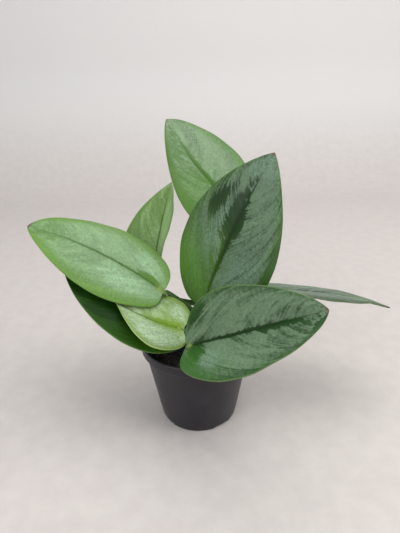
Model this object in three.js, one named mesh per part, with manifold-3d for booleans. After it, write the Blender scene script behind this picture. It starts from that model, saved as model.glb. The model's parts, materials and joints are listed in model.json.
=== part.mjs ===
// A young scindapsus (an aroid with thick, silvery leaves) in its round plastic nursery pot.
//
// Millimetres, +Z up. The origin is the middle of the circle that the pot stands on, and the plant is seen
// from its front when looking along +Y. The pot holds a plug of potting mix. Two rooted stems grow out of it,
// and each leaf is a petiole, which is its stalk, with a blade on its end. Pieces that touch keep a gap of
// about CLEARANCE between them.
import * as THREE from "three";
import { ParametricGeometry } from "three/addons/geometries/ParametricGeometry.js";
import { mergeVertices } from "three/addons/utils/BufferGeometryUtils.js";
import Module from "manifold-3d";

const wasm = await Module();
wasm.setup();

const DEG = Math.PI / 180;
const CLEARANCE = 0.4;

// Pot
const POT_HEIGHT = 78;
const POT_SEGMENTS = 48;
const WALL = 1.3;
const FOOT_RADIUS = 34.5;
const FOOT_ROUNDING = 1.5;
const FLOOR = 1.6;
const SHOULDER_RADIUS = 46.9; // top of the tapered body, under the collar
const COLLAR_RADIUS = 50;
const COLLAR_HEIGHT = 7.5;
const DRAIN_HOLE = { radius: 3.5, circle: 19, count: 6 };
const DRAIN_SLOT = { width: 16, depth: 7, height: 2.6, first: 36, count: 4 }; // cut into the edge of the foot

// Potting mix
const MIX_TOP = 64; // at the pot's wall
const MIX_MOUND = 2; // how much higher it stands in the middle

// Stems, as the points of their centre lines
const STEM_RADIUS = 3.4;
const STEM_TAPER = 0.25; // share of the radius that is gone at the tip
const STEM_SWELLING = 0.07; // at the joints, as a share of the radius
const STEM_JOINTS = 4;
const STEM_SIDES = 10;
const STEMS = {
  front: { line: [[5, -10, 42], [4, -9, 62], [1, -11, 76], [4, -12, 92]], roots: 5, firstRoot: 200 },
  back: { line: [[7, 11, 42], [8, 10, 62], [4, 13, 84], [9, 16, 106], [12, 17, 124]], roots: 6, firstRoot: 20 },
};

// Roots fan out of the foot of each stem and bend down
const ROOT_RADIUS = 1.3;
const ROOT_REACH = 17;
const ROOT_DROP = 26;
const ROOT_TAPER = 0.5;
const ROOT_SIDES = 6;
const ROOT_CROWN_RADIUS = 4.4;

// Blades
const BLADE_THICKNESS = 1;
const MIDRIB = { height: 0.8, width: 2 }; // how far it stands out underneath, and half its breadth
const EDGE_THINNING = 4; // the blade thins towards its ends where its half width is less than this
const BLADE_SLICES = 16;
const BLADE_STACKS = 16;
const BASE_ROUNDNESS = 0.5; // lower is blunter
const LOBE_REACH = 0.045; // share of the length in which the lobes behind the stalk end

// Petioles
const PETIOLE_RADIUS = { foot: 2.6, top: 1.7 };
const PETIOLE_SIDES = 8;

// Every leaf. base is where the blade starts. heading is in degrees anticlockwise from +X seen from above,
// rise is above the horizontal, and roll turns the blade about its midrib and lifts its right-hand edge. droop
// and sway are how far the midrib has turned down and aside by the tip, and twist how far the blade has turned
// about it. fold is how far each half stands up from flat at the midrib, and cup how far it has curved back
// down at its edge. lobes is the reach of the left and the right lobe behind the stalk, as shares of the
// length, lopsided how much wider the right half is than the left, and point how narrow the tip is. stalk is
// the way of the petiole from the stem's centre line outwards, and stem the one that it grows from.
const LEAVES = {
  top: {
    base: [42, 38, 160], heading: 138, rise: 66, roll: 21,
    length: 128, width: 76, droop: 28, sway: -19, twist: 7,
    fold: 7, cup: 24, lobes: [0.07, 0.07], lopsided: -0.05, point: 0.83,
    stalk: [[12, 17, 119], [27, 30, 136], [41, 36, 152]],
    stem: "back",
  },
  centre: {
    base: [6, 10, 102], heading: -39, rise: 72, roll: -81,
    length: 148, width: 91, droop: 21, sway: 2, twist: -23,
    fold: 7, cup: 12, lobes: [0, 0], lopsided: 0.04, point: 0.87,
    stalk: [[4, 13, 84], [9, 8, 89], [8, 9, 96]],
    stem: "back",
  },
  front: {
    base: [-8, -34, 90], heading: -43, rise: 32, roll: -54,
    length: 125, width: 72, droop: 23, sway: -11, twist: -16,
    fold: 23, cup: 2, lobes: [-0.045, 0], lopsided: 0, point: 0.75,
    stalk: [[2, -11, 72], [5, -20, 76], [0, -29, 84]],
    stem: "front",
  },
  left: {
    base: [-28, 4, 121], heading: 167, rise: 36, roll: 32,
    length: 133, width: 75, droop: 20, sway: -13, twist: -10,
    fold: 16, cup: 49, lobes: [0, -0.035], lopsided: 0.03, point: 0.75,
    stalk: [[5, 14, 88], [-6, 12, 97], [-24, 9, 117]],
    stem: "back",
  },
  back: {
    base: [-43, 47, 106], heading: 78, rise: 54, roll: 35,
    length: 112, width: 69, droop: 9, sway: 0, twist: -20,
    fold: 29, cup: -10, lobes: [0.07, 0.07], lopsided: -0.03, point: 1,
    stalk: [[9, 16, 101], [-10, 28, 98], [-38, 43, 99]],
    stem: "back",
  },
  shaded: {
    base: [-7, -8, 83], heading: 174, rise: 31, roll: 10,
    length: 119, width: 73, droop: 7, sway: 2, twist: 8,
    fold: 3, cup: 25, lobes: [-0.04, 0.06], lopsided: 0, point: 0.86,
    stalk: [[1, -11, 75], [-3, -9, 78]],
    stem: "front",
  },
  young: {
    base: [-11, -20, 97], heading: 176, rise: 19, roll: 31,
    length: 63, width: 55, droop: 4, sway: 14, twist: -23,
    fold: 17, cup: 25, lobes: [0.06, 0.03], lopsided: 0.02, point: 1.08,
    stalk: [[3, -12, 87], [-2, -15, 90], [-7, -19, 93]],
    stem: "front",
  },
  right: {
    base: [47, 17, 114], heading: 7, rise: -3, roll: 15,
    length: 140, width: 71, droop: 18, sway: 0, twist: 0,
    fold: 12, cup: 23, lobes: [0.07, 0.07], lopsided: 0, point: 0.8,
    stalk: [[9, 16, 107], [28, 15, 112]],
    stem: "back",
  },
};

const COLOURS = {
  pot: 0x2a2729,
  mix: 0x1f1a17,
  stem: 0x5f7f38,
  root: 0xb49a72,
  petiole: 0x6f8f45,
  blade: 0x3c6b3a,
  youngBlade: 0x8fb262,
};

const finish = (colour, roughness) => new THREE.MeshStandardMaterial({ color: colour, roughness, metalness: 0 });
const vector = (p) => new THREE.Vector3(...p);

// ---- Closed meshes and solids ----

// The geometry with its seams and poles closed: equal points become one, and faces that collapse go.
function closed(geometry) {
  const bare = new THREE.BufferGeometry().setAttribute("position", geometry.getAttribute("position").clone());
  bare.setIndex(geometry.index);
  const merged = mergeVertices(bare, 1e-3);
  const faces = [];
  const index = merged.index.array;
  for (let i = 0; i < index.length; i += 3) {
    const [a, b, c] = index.slice(i, i + 3);
    if (a !== b && b !== c && c !== a) faces.push(a, b, c);
  }
  return merged.setIndex(faces);
}

function solidOf(geometry) {
  const mesh = closed(geometry);
  const vertProperties = mesh.getAttribute("position").array;
  const triVerts = new Uint32Array(mesh.index.array);
  return new wasm.Manifold(new wasm.Mesh({ numProp: 3, vertProperties, triVerts }));
}

function geometryOf(solid) {
  const mesh = solid.getMesh();
  const geometry = new THREE.BufferGeometry();
  geometry.setAttribute("position", new THREE.BufferAttribute(mesh.vertProperties, 3));
  geometry.setIndex(new THREE.BufferAttribute(mesh.triVerts, 1));
  geometry.computeVertexNormals();
  return geometry;
}

// A round limb along a smooth line, with flat ends. radiusAt gives its radius at a share of its length.
function limb(points, radiusAt, sides, steps) {
  const line = new THREE.CatmullRomCurve3(points.map(vector));
  const { normals, binormals } = line.computeFrenetFrames(steps, false);
  const stacks = steps + 2; // the first and last stack are the flat ends
  return closed(
    new ParametricGeometry(
      (around, along, target) => {
        const stack = Math.round(along * stacks);
        const step = THREE.MathUtils.clamp(stack - 1, 0, steps);
        const share = step / steps;
        const radius = stack === 0 || stack === stacks ? 0 : radiusAt(share);
        const angle = 2 * Math.PI * around;
        target.copy(line.getPointAt(share));
        target.addScaledVector(normals[step], radius * Math.cos(angle));
        target.addScaledVector(binormals[step], radius * Math.sin(angle));
      },
      sides,
      stacks,
    ),
  );
}

// ---- Pot and potting mix ----

const shoulderHeight = POT_HEIGHT - COLLAR_HEIGHT;
const bodyRadius = (z) => THREE.MathUtils.lerp(FOOT_RADIUS, SHOULDER_RADIUS, z / shoulderHeight);
const insideRadius = (z) => bodyRadius(z) - WALL;

function lathe(profile) {
  const points = profile.map(([r, z]) => new THREE.Vector2(r, z));
  return closed(new THREE.LatheGeometry(points, POT_SEGMENTS).rotateX(Math.PI / 2));
}

// A quarter round between two points of a profile that lie on a corner's two sides.
function rounded([r0, z0], [r1, z1], [rc, zc], steps = 4) {
  const curve = new THREE.QuadraticBezierCurve(
    new THREE.Vector2(r0, z0),
    new THREE.Vector2(rc, zc),
    new THREE.Vector2(r1, z1),
  );
  return curve.getPoints(steps).map((p) => [p.x, p.y]);
}

// The places of count things on a circle, as turns about +Z in radians.
function bearings(count, first = 0) {
  return Array.from({ length: count }, (_, i) => (first + (i * 360) / count) * DEG);
}

function potSolid() {
  const lip = WALL / 2;
  const shell = solidOf(
    lathe([
      [0, 0],
      ...rounded(
        [FOOT_RADIUS - FOOT_ROUNDING, 0],
        [bodyRadius(FOOT_ROUNDING), FOOT_ROUNDING],
        [FOOT_RADIUS, 0],
      ),
      [SHOULDER_RADIUS, shoulderHeight],
      [COLLAR_RADIUS - lip, shoulderHeight + lip],
      [COLLAR_RADIUS, POT_HEIGHT - lip],
      ...rounded(
        [COLLAR_RADIUS, POT_HEIGHT - lip],
        [COLLAR_RADIUS - WALL, POT_HEIGHT - lip],
        [COLLAR_RADIUS - lip, POT_HEIGHT + lip],
      ).slice(1),
      [COLLAR_RADIUS - WALL - lip, shoulderHeight + WALL],
      [insideRadius(shoulderHeight), shoulderHeight],
      [insideRadius(FLOOR), FLOOR],
      [0, FLOOR],
    ]),
  );
  const hole = new THREE.CylinderGeometry(DRAIN_HOLE.radius, DRAIN_HOLE.radius, 4 * FLOOR, 16);
  hole.rotateX(Math.PI / 2);
  const slot = new THREE.BoxGeometry(2 * DRAIN_SLOT.depth, DRAIN_SLOT.width, 2 * DRAIN_SLOT.height);
  const cuts = [
    ...bearings(DRAIN_HOLE.count).map((turn) => hole.clone().translate(DRAIN_HOLE.circle, 0, 0).rotateZ(turn)),
    ...bearings(DRAIN_SLOT.count, DRAIN_SLOT.first).map((turn) =>
      slot.clone().translate(FOOT_RADIUS, 0, 0).rotateZ(turn),
    ),
  ];
  return cuts.reduce((pot, cut) => pot.subtract(solidOf(cut)), shell);
}

function mixSolid(rooted) {
  const bottom = FLOOR + CLEARANCE;
  const plug = solidOf(
    lathe([
      [0, bottom],
      [insideRadius(bottom) - CLEARANCE, bottom],
      [insideRadius(MIX_TOP) - CLEARANCE, MIX_TOP],
      [insideRadius(MIX_TOP) * 0.6, MIX_TOP + MIX_MOUND * 0.7],
      [0, MIX_TOP + MIX_MOUND],
    ]),
  );
  return rooted.reduce((mix, piece) => mix.subtract(piece), plug);
}

// ---- Stems and roots ----

// extra makes the limb thicker all over, which gives the room that it needs in its neighbours.
function stem({ line }, extra = 0) {
  const points = line.map((p) => [...p]);
  points[0][2] -= extra;
  points.at(-1)[2] += extra;
  const radiusAt = (share) => {
    const swelling = STEM_SWELLING * Math.cos(share * STEM_JOINTS * 2 * Math.PI);
    return extra + STEM_RADIUS * (1 - STEM_TAPER * share) * (1 + swelling);
  };
  return solidOf(limb(points, radiusAt, STEM_SIDES, 16));
}

function roots({ line, roots: count, firstRoot }, extra = 0) {
  const [x, y, z] = line[0];
  const crown = new THREE.Vector3(x, y, z - CLEARANCE - ROOT_CROWN_RADIUS);
  const ball = new THREE.SphereGeometry(ROOT_CROWN_RADIUS + extra, 12, 8).rotateX(Math.PI / 2);
  let system = solidOf(ball.translate(crown.x, crown.y, crown.z));
  for (const turn of bearings(count, firstRoot)) {
    const at = (out, drop) => [crown.x + out * Math.cos(turn), crown.y + out * Math.sin(turn), crown.z - drop];
    const path = [
      at(1, 0),
      at(ROOT_REACH * 0.5, 2),
      at(ROOT_REACH * 0.95, ROOT_DROP * 0.4),
      at(ROOT_REACH * 0.85, ROOT_DROP + extra),
    ];
    const radiusAt = (share) => extra + ROOT_RADIUS * (1 - ROOT_TAPER * share);
    system = system.add(solidOf(limb(path, radiusAt, ROOT_SIDES, 8)));
  }
  return system;
}

// ---- Leaves ----

// The blade's own directions at its base: along the midrib, towards its right-hand edge, and out of its upper
// face.
function axesOf({ heading, rise, roll }) {
  const [h, r, q] = [heading * DEG, rise * DEG, roll * DEG];
  const along = new THREE.Vector3(Math.cos(r) * Math.cos(h), Math.cos(r) * Math.sin(h), Math.sin(r));
  const level = new THREE.Vector3(Math.sin(h), -Math.cos(h), 0);
  const side = level.applyAxisAngle(along, -q);
  return { along, side, up: new THREE.Vector3().crossVectors(side, along) };
}

// The midrib's direction once it has drooped and swayed over a share of its length.
function midribDirection(leaf, axes, share) {
  const droop = leaf.droop * DEG * share;
  const sway = leaf.sway * DEG * share;
  return new THREE.Vector3()
    .addScaledVector(axes.along, Math.cos(droop) * Math.cos(sway))
    .addScaledVector(axes.side, Math.cos(droop) * Math.sin(sway))
    .addScaledVector(axes.up, -Math.sin(droop));
}

function midribPoint(leaf, axes, share) {
  const steps = 16;
  const stride = share / steps;
  const point = vector(leaf.base);
  for (let i = 0; i < steps; i++) {
    point.addScaledVector(midribDirection(leaf, axes, (i + 0.5) * stride), leaf.length * stride);
  }
  return point;
}

// The edge of the left or right half of the blade laid flat, at a share t of its length: how far it lies along
// the midrib and to one side.
function edge(leaf, t, half) {
  const peak = BASE_ROUNDNESS / (BASE_ROUNDNESS + leaf.point);
  const shape = (s) => s ** BASE_ROUNDNESS * (1 - s) ** leaf.point;
  const reach = leaf.lobes[half === "left" ? 0 : 1] + LOBE_REACH;
  const lobe = reach * (t / LOBE_REACH) * Math.exp(1 - t / LOBE_REACH);
  return { along: leaf.length * (t - lobe), aside: ((leaf.width / 2) * shape(t)) / shape(peak) };
}

// The place in space of a point of the flat blade, along and aside from its base in mm, raised by lift above
// the middle of the sheet.
function bladePoint(leaf, axes, along, aside, lift) {
  const share = THREE.MathUtils.clamp(along / leaf.length, 0, 1);
  const direction = midribDirection(leaf, axes, share);
  const side = axes.side.clone().addScaledVector(direction, -axes.side.dot(direction)).normalize();
  side.applyAxisAngle(direction, -leaf.twist * DEG * share);
  const up = new THREE.Vector3().crossVectors(side, direction);
  const fold = leaf.fold * DEG;
  const bend = (leaf.cup * DEG) / (leaf.width / 2); // radians for each mm across
  const distance = Math.abs(aside);
  const slope = fold - bend * distance;
  const hand = Math.sign(aside);
  return midribPoint(leaf, axes, share)
    .addScaledVector(axes.along, Math.min(along, 0))
    .addScaledVector(side, (hand * (Math.sin(fold) - Math.sin(slope))) / bend - hand * lift * Math.sin(slope))
    .addScaledVector(up, (Math.cos(slope) - Math.cos(fold)) / bend + lift * Math.cos(slope));
}

// The blade is a closed skin: each section runs over its upper face and back underneath.
function blade(leaf) {
  const axes = axesOf(leaf);
  return closed(
    new ParametricGeometry(
      (around, stack, target) => {
        const t = (1 - Math.cos(Math.PI * stack)) / 2;
        const across = Math.cos(2 * Math.PI * around);
        const face = -Math.sin(2 * Math.PI * around);
        const rim = edge(leaf, t, across < 0 ? "left" : "right");
        const widening = 1 + Math.sign(across) * leaf.lopsided;
        const along = THREE.MathUtils.lerp(leaf.length * t, rim.along, Math.abs(across));
        const aside = rim.aside * across * widening;
        const thinning = Math.min(1, rim.aside / EDGE_THINNING);
        const midrib = face < 0 ? MIDRIB.height * Math.exp(-((aside / MIDRIB.width) ** 2)) * (1 - t) : 0;
        const half = (BLADE_THICKNESS / 2) * Math.sqrt(Math.abs(face)) + midrib;
        target.copy(bladePoint(leaf, axes, along, aside, Math.sign(face) * half * thinning));
      },
      BLADE_SLICES,
      BLADE_STACKS,
    ),
  );
}

// The stalk grows out of the stem, and ends just under the blade's base. The cut at the stem can leave a chip
// beside the stalk, which goes.
function petioleSolid(leaf) {
  const { along, up } = axesOf(leaf);
  const { foot, top } = PETIOLE_RADIUS;
  const under = top + BLADE_THICKNESS / 2 + CLEARANCE;
  const end = vector(leaf.base).addScaledVector(along, -CLEARANCE).addScaledVector(up, -under);
  const line = [...leaf.stalk, end.toArray()];
  const stalk = solidOf(limb(line, (share) => THREE.MathUtils.lerp(foot, top, share), PETIOLE_SIDES, 12));
  const bodies = stalk.subtract(stem(STEMS[leaf.stem], CLEARANCE)).decompose();
  return bodies.sort((a, b) => b.volume() - a.volume())[0];
}

// ---- The plant in its pot ----

const plant = new THREE.Group();

function addPiece(name, geometry, material) {
  const mesh = new THREE.Mesh(geometry, material);
  mesh.name = name;
  plant.add(mesh);
}

addPiece("pot", geometryOf(potSolid()), finish(COLOURS.pot, 0.45));

const room = Object.values(STEMS).flatMap((s) => [stem(s, CLEARANCE), roots(s, CLEARANCE)]);
addPiece("potting_mix", geometryOf(mixSolid(room)), finish(COLOURS.mix, 0.95));

for (const [name, s] of Object.entries(STEMS)) {
  addPiece(`stem_${name}`, geometryOf(stem(s)), finish(COLOURS.stem, 0.6));
  addPiece(`roots_${name}`, geometryOf(roots(s)), finish(COLOURS.root, 0.8));
}

for (const [name, leaf] of Object.entries(LEAVES)) {
  addPiece(`petiole_${name}`, geometryOf(petioleSolid(leaf)), finish(COLOURS.petiole, 0.5));
  addPiece(`blade_${name}`, blade(leaf), finish(name === "young" ? COLOURS.youngBlade : COLOURS.blade, 0.4));
}

export default plant;
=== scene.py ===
"""A young scindapsus in its round nursery pot: the looks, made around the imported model.

Shapes are worked out in millimetres and turned into metres when a mesh is made. Each blade is laid flat
first, in mm along its midrib and aside from it, and then bent in space as its row in LEAVES says. Where it
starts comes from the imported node.
"""
import json
import math

import bmesh
import bpy
import numpy as np
from mathutils import Matrix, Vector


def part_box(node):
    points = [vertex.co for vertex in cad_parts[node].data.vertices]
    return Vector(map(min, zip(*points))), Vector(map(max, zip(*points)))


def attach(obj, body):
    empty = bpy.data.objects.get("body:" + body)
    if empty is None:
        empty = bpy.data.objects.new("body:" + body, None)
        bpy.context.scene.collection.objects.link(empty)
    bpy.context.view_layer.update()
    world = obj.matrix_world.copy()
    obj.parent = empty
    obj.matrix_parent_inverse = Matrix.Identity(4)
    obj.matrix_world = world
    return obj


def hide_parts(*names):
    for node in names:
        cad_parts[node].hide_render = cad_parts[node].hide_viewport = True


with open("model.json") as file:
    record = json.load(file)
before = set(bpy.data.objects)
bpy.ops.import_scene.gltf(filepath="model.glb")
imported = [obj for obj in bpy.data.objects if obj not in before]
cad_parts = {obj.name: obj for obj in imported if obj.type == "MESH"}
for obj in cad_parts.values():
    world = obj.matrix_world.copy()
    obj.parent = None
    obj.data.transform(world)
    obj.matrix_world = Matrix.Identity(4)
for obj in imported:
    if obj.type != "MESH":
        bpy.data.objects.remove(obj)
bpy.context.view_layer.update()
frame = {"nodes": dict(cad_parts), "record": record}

MM = 0.001
RANDOM = np.random.default_rng(7)

# ---- Driving dimensions, in mm ----

# Pot: a tapered body under a wider collar. They meet at the shoulder.
POT_HEIGHT = 78
POT_SEGMENTS = 160
WALL = 1.3
FLOOR = 1.6
FOOT_RADIUS = 34.5
SHOULDER_RADIUS = 46.9
COLLAR_RADIUS = 50
COLLAR_HEIGHT = 7.5
SHOULDER_HEIGHT = POT_HEIGHT - COLLAR_HEIGHT
DRAIN_HOLE = dict(radius=3.5, circle=19, count=6)
DRAIN_SLOT = dict(width=16, depth=7, height=2.6, first=36, count=4)  # the first one's bearing is in degrees

# Potting mix, with loose crumbs and chips of bark on top. shade is how light a crumb is, from 0 to 1.
MIX_TOP = 64
MIX_MOUND = 2
MIX_GAP = 0.3
MIX_SEGMENTS = 120
CRUMBS = 620
CRUMB = dict(size=(0.45, 1.5), stretch=(1.0, 0.85, 0.75), shade=(0, 0.35))
CHIP = dict(size=(1.1, 2.3), stretch=(1.5, 0.9, 0.4), shade=(0.5, 1))
CHIP_SHARE = 0.22

# Stems, with root nubs at their joints, which are given as shares of the length
STEM_RADIUS = 3.4
STEM_RINGS = 120
STEM_SEGMENTS = 32
STEM_LINES = {
    "front": [[5, -10, 42], [4, -9, 62], [1, -11, 76], [4, -12, 92]],
    "back": [[7, 11, 42], [8, 10, 62], [4, 13, 84], [9, 16, 106], [12, 17, 124]],
}
STEM_JOINTS = {"front": [0.42, 0.62, 0.85], "back": [0.3, 0.52, 0.7, 0.86]}
NUB_RADIUS = 0.75
NUB_RINGS = 12
NUB_SEGMENTS = 12
NUB_REACH = (2.0, 4.0, 5.6)  # three points of a nub, out from the stem's centre line
NUB_DROOP = 0.5

# Blades
BLADE_THICKNESS = 0.9
BLADE_ROWS = 110
BLADE_COLUMNS = 30  # from the midrib to one edge
PACKED_ROWS = 17  # rows of a packed blade, which fix its box
MIDRIB_STEPS = 60
BASE_ROUNDNESS = 0.5
LOBE_REACH = 0.045  # share of the length in which the lobes behind the stalk end
SIDE_VEINS = 11  # main veins on each side of the midrib
QUILTING = 0.10  # how far the sheet swells between side veins
GROOVE = dict(depth=0.75, width=1.3)  # over the midrib
SHOULDERS = dict(height=0.35, aside=4.2, width=3.0)  # beside the groove
RIDGE_WIDTH = 1.7  # of the midrib underneath, which is 1 mm high at the base
EDGE_ROLL = 0.5
WAVES = 1.7  # along an edge, with smaller ripples on them
RIPPLES = 4.6
RIPPLE_SHARE = 0.35

# Petioles. The wings beside the channel stand out at the foot.
PETIOLE_FOOT = 2.6
PETIOLE_TOP = 1.7
PETIOLE_RINGS = 60
PETIOLE_SEGMENTS = 40
PETIOLE_WINGS = 1.6
SPECIAL_WINGS = {"left": 2.6, "young": 1.2}

# Posture and outline, as in the part's source. Angles are in degrees: heading anticlockwise from +X seen
# from above, rise above the horizontal, roll about the midrib, droop, sway and twist how far the blade has
# turned by the tip, down, to the right and about its midrib, fold how far each half stands up at the midrib,
# and cup how far it has curved back down at its edge. lobes are the reach of the left and right lobe, as
# shares of the length, lopsided is how much wider the right half is, and point how narrow the tip. stalk is
# the way of the petiole, wave how far the edge swings up and down, and phase where the swing starts.
LEAVES = {
    "top": dict(
        heading=138, rise=66, roll=21, length=128, width=76, droop=28, sway=-19, twist=7, fold=7, cup=24,
        lobes=(0.07, 0.07), lopsided=-0.05, point=0.83, wave=0.7, phase=0.4,
        stalk=[[12, 17, 119], [27, 30, 136], [41, 36, 152]]),
    "centre": dict(
        heading=-39, rise=72, roll=-81, length=148, width=91, droop=21, sway=2, twist=-23, fold=7, cup=12,
        lobes=(0, 0), lopsided=0.04, point=0.87, wave=0.8, phase=2.0,
        stalk=[[4, 13, 84], [9, 8, 89], [8, 9, 96]]),
    "front": dict(
        heading=-43, rise=32, roll=-54, length=125, width=72, droop=23, sway=-11, twist=-16, fold=23, cup=2,
        lobes=(-0.045, 0), lopsided=0, point=0.75, wave=0.9, phase=4.1,
        stalk=[[2, -11, 72], [5, -20, 76], [0, -29, 84]]),
    "left": dict(
        heading=167, rise=36, roll=32, length=133, width=75, droop=20, sway=-13, twist=-10, fold=16, cup=49,
        lobes=(0, -0.035), lopsided=0.03, point=0.75, wave=0.6, phase=1.0,
        stalk=[[5, 14, 88], [-6, 12, 97], [-24, 9, 117]]),
    "back": dict(
        heading=78, rise=54, roll=35, length=112, width=69, droop=9, sway=0, twist=-20, fold=29, cup=-10,
        lobes=(0.07, 0.07), lopsided=-0.03, point=1, wave=0.6, phase=3.0,
        stalk=[[9, 16, 101], [-10, 28, 98], [-38, 43, 99]]),
    "shaded": dict(
        heading=174, rise=31, roll=10, length=119, width=73, droop=7, sway=2, twist=8, fold=3, cup=25,
        lobes=(-0.04, 0.06), lopsided=0, point=0.86, wave=0.7, phase=5.2,
        stalk=[[1, -11, 75], [-3, -9, 78]]),
    "young": dict(
        heading=176, rise=19, roll=31, length=63, width=55, droop=4, sway=14, twist=-23, fold=17, cup=25,
        lobes=(0.06, 0.03), lopsided=0.02, point=1.08, wave=0.4, phase=0.0,
        stalk=[[3, -12, 87], [-2, -15, 90], [-7, -19, 93]]),
    "right": dict(
        heading=7, rise=-3, roll=15, length=140, width=71, droop=18, sway=0, twist=0, fold=12, cup=23,
        lobes=(0.07, 0.07), lopsided=0, point=0.8, wave=0.7, phase=2.7,
        stalk=[[9, 16, 107], [28, 15, 112]]),
}

# How far the midrib swings to the right of the middle, as a share of the half width.
MIDRIB_SHIFT = {"top": -0.33, "young": -0.1}

# Each blade's upper face. deep, silver, fresh and edge are the colours of the ground, the satin bloom, a
# greener part and the thin margin, as the light that they reflect. fresh_spot is where the greener part lies,
# as shares of the length and of the half width to the right, and its reach. bloom is how silver the left and
# the right half are, streaks and patches how much that breaks up, finely and broadly, and tip how much more
# there is near the tip. band is the green band along the midrib: its width, as a share of the half width, and
# where it is widest. rim is the width of the green margin and how fresh it is. dark are spots with less bloom,
# and pale are painted highlights: spots of lighter silver, broken into glints, where the blade catches the
# light. For both, the entries are the two shares of where they lie, their length and their width. gloss is
# the strength of the shine, and browned where the dry tip starts.
PLAIN = dict(patches=0.6, tip=0, gloss=0.5, browned=0.98, dark=[], pale=[])
LOOKS = {
    # The left half's weaker bloom is partly the blade's own darker ground and partly painted shade on the half
    # turned from the light.
    "top": dict(
        PLAIN, deep=(0.055, 0.138, 0.02), silver=(0.15, 0.232, 0.125),
        fresh=(0.07, 0.175, 0.016), edge=(0.09, 0.15, 0.03), fresh_spot=(0.1, -0.9, 0.8),
        bloom=(0.6, 1.1), streaks=0.5, patches=0.4, band=(0.05, 0.35), rim=(0.4, 0.7),
        dark=[(0.45, 0.04, 0.45, 0.05)]),
    # The pale spot across the tip is a painted reflection of the bright surroundings, and the other pale spots
    # are painted highlights.
    "centre": dict(
        PLAIN, deep=(0.008, 0.036, 0.004), silver=(0.105, 0.175, 0.098),
        fresh=(0.085, 0.23, 0.006), edge=(0.03, 0.09, 0.02), fresh_spot=(0.06, -0.7, 0.5),
        bloom=(0.88, 1.0), streaks=1.0, tip=0.2, band=(0.08, 0.5), rim=(0.34, 0.3),
        dark=[(0.66, -0.12, 0.19, 0.17), (0.6, 0.06, 0.12, 0.09), (0.66, -0.62, 0.12, 0.18),
              (0.45, 0, 0.4, 0.07), (0.4, 1.0, 0.25, 0.16)],
        pale=[(0.95, 0, 0.12, 0.9), (0.5, -0.34, 0.2, 0.2), (0.28, 0.5, 0.24, 0.4)]),
    # Its pale spot is a painted highlight: glints on the lower lobe.
    "front": dict(
        PLAIN, deep=(0.012, 0.048, 0.008), silver=(0.115, 0.185, 0.105),
        fresh=(0.03, 0.13, 0.01), edge=(0.12, 0.18, 0.06), fresh_spot=(0.03, 0.9, 0.4),
        bloom=(1.0, 0.95), streaks=0.85, tip=-0.1, band=(0.06, 0.6), rim=(0.28, 0.3),
        dark=[(0.7, 0.05, 0.18, 0.13), (0.12, 0.3, 0.1, 0.5), (0.95, 0.8, 0.08, 0.3),
              (0.4, 0, 0.4, 0.06), (0.16, -0.75, 0.12, 0.3)],
        pale=[(0.26, 0.5, 0.1, 0.28)]),
    # Its pale spots are painted highlights, the first the bluish glare on the upper half near the base.
    "left": dict(
        PLAIN, deep=(0.075, 0.18, 0.022), silver=(0.18, 0.295, 0.14),
        fresh=(0.12, 0.25, 0.03), edge=(0.15, 0.26, 0.05), fresh_spot=(0, 0.9, 0.35),
        bloom=(0.9, 1.0), streaks=0.3, patches=0.3, tip=-0.4, band=(0.03, 0.3), rim=(0.45, 0.9),
        browned=0.965,
        dark=[(0.1, 0.1, 0.12, 0.12)],
        pale=[(0.17, 0.42, 0.14, 0.32), (0.25, -0.4, 0.2, 0.3)]),
    # The stronger bloom of the right half and its pale spot are painted light: the light that shines through
    # that half.
    "back": dict(
        PLAIN, deep=(0.1, 0.21, 0.035), silver=(0.2, 0.32, 0.12),
        fresh=(0.11, 0.23, 0.03), edge=(0.12, 0.22, 0.04), fresh_spot=(0.1, -0.5, 0.4),
        bloom=(0.6, 1.3), streaks=0.4, patches=0.4, band=(0.06, 0.5), rim=(0.2, 0.5),
        pale=[(0.45, 0.5, 0.45, 0.45)]),
    # Its deep and silver colours are darkened far below the other blades' as painted shade, where the blades
    # above shade it.
    "shaded": dict(
        PLAIN, deep=(0.005, 0.028, 0.001), silver=(0.012, 0.046, 0.004),
        fresh=(0.03, 0.1, 0.004), edge=(0.12, 0.2, 0.07), fresh_spot=(0.1, -0.9, 0.4),
        bloom=(0.5, 0.5), streaks=0.6, band=(0.1, 0.5), rim=(0.24, 0.6), gloss=0.15),
    # Its bluish-white silver is partly a painted sheen, and its pale spots are painted highlights.
    "young": dict(
        PLAIN, deep=(0.12, 0.21, 0.022), silver=(0.27, 0.37, 0.2),
        fresh=(0.15, 0.26, 0.02), edge=(0.42, 0.52, 0.24), fresh_spot=(0.15, 0, 0.35),
        bloom=(0.9, 0.6), streaks=0.2, patches=0.3, band=(0.12, 0.2), rim=(0.24, 0.7),
        dark=[(0.1, 0, 0.5, 0.14)],
        pale=[(0.32, -0.55, 0.32, 0.4), (0.15, 0.5, 0.15, 0.3)]),
    "right": dict(
        PLAIN, deep=(0.012, 0.05, 0.014), silver=(0.14, 0.195, 0.14),
        fresh=(0.05, 0.13, 0.03), edge=(0.1, 0.12, 0.06), fresh_spot=(0.9, 0, 0.3),
        bloom=(0.8, 0.8), streaks=0.9, band=(0.1, 0.5), rim=(0.3, 0.2), browned=0.93),
}

# The pale spots are painted highlights: their silver is lightened and tinted blue by this gain.
PAINTED_HIGHLIGHT_GAIN = (1.45, 1.4, 1.75)  # how much brighter than silver the pale spots are

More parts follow.
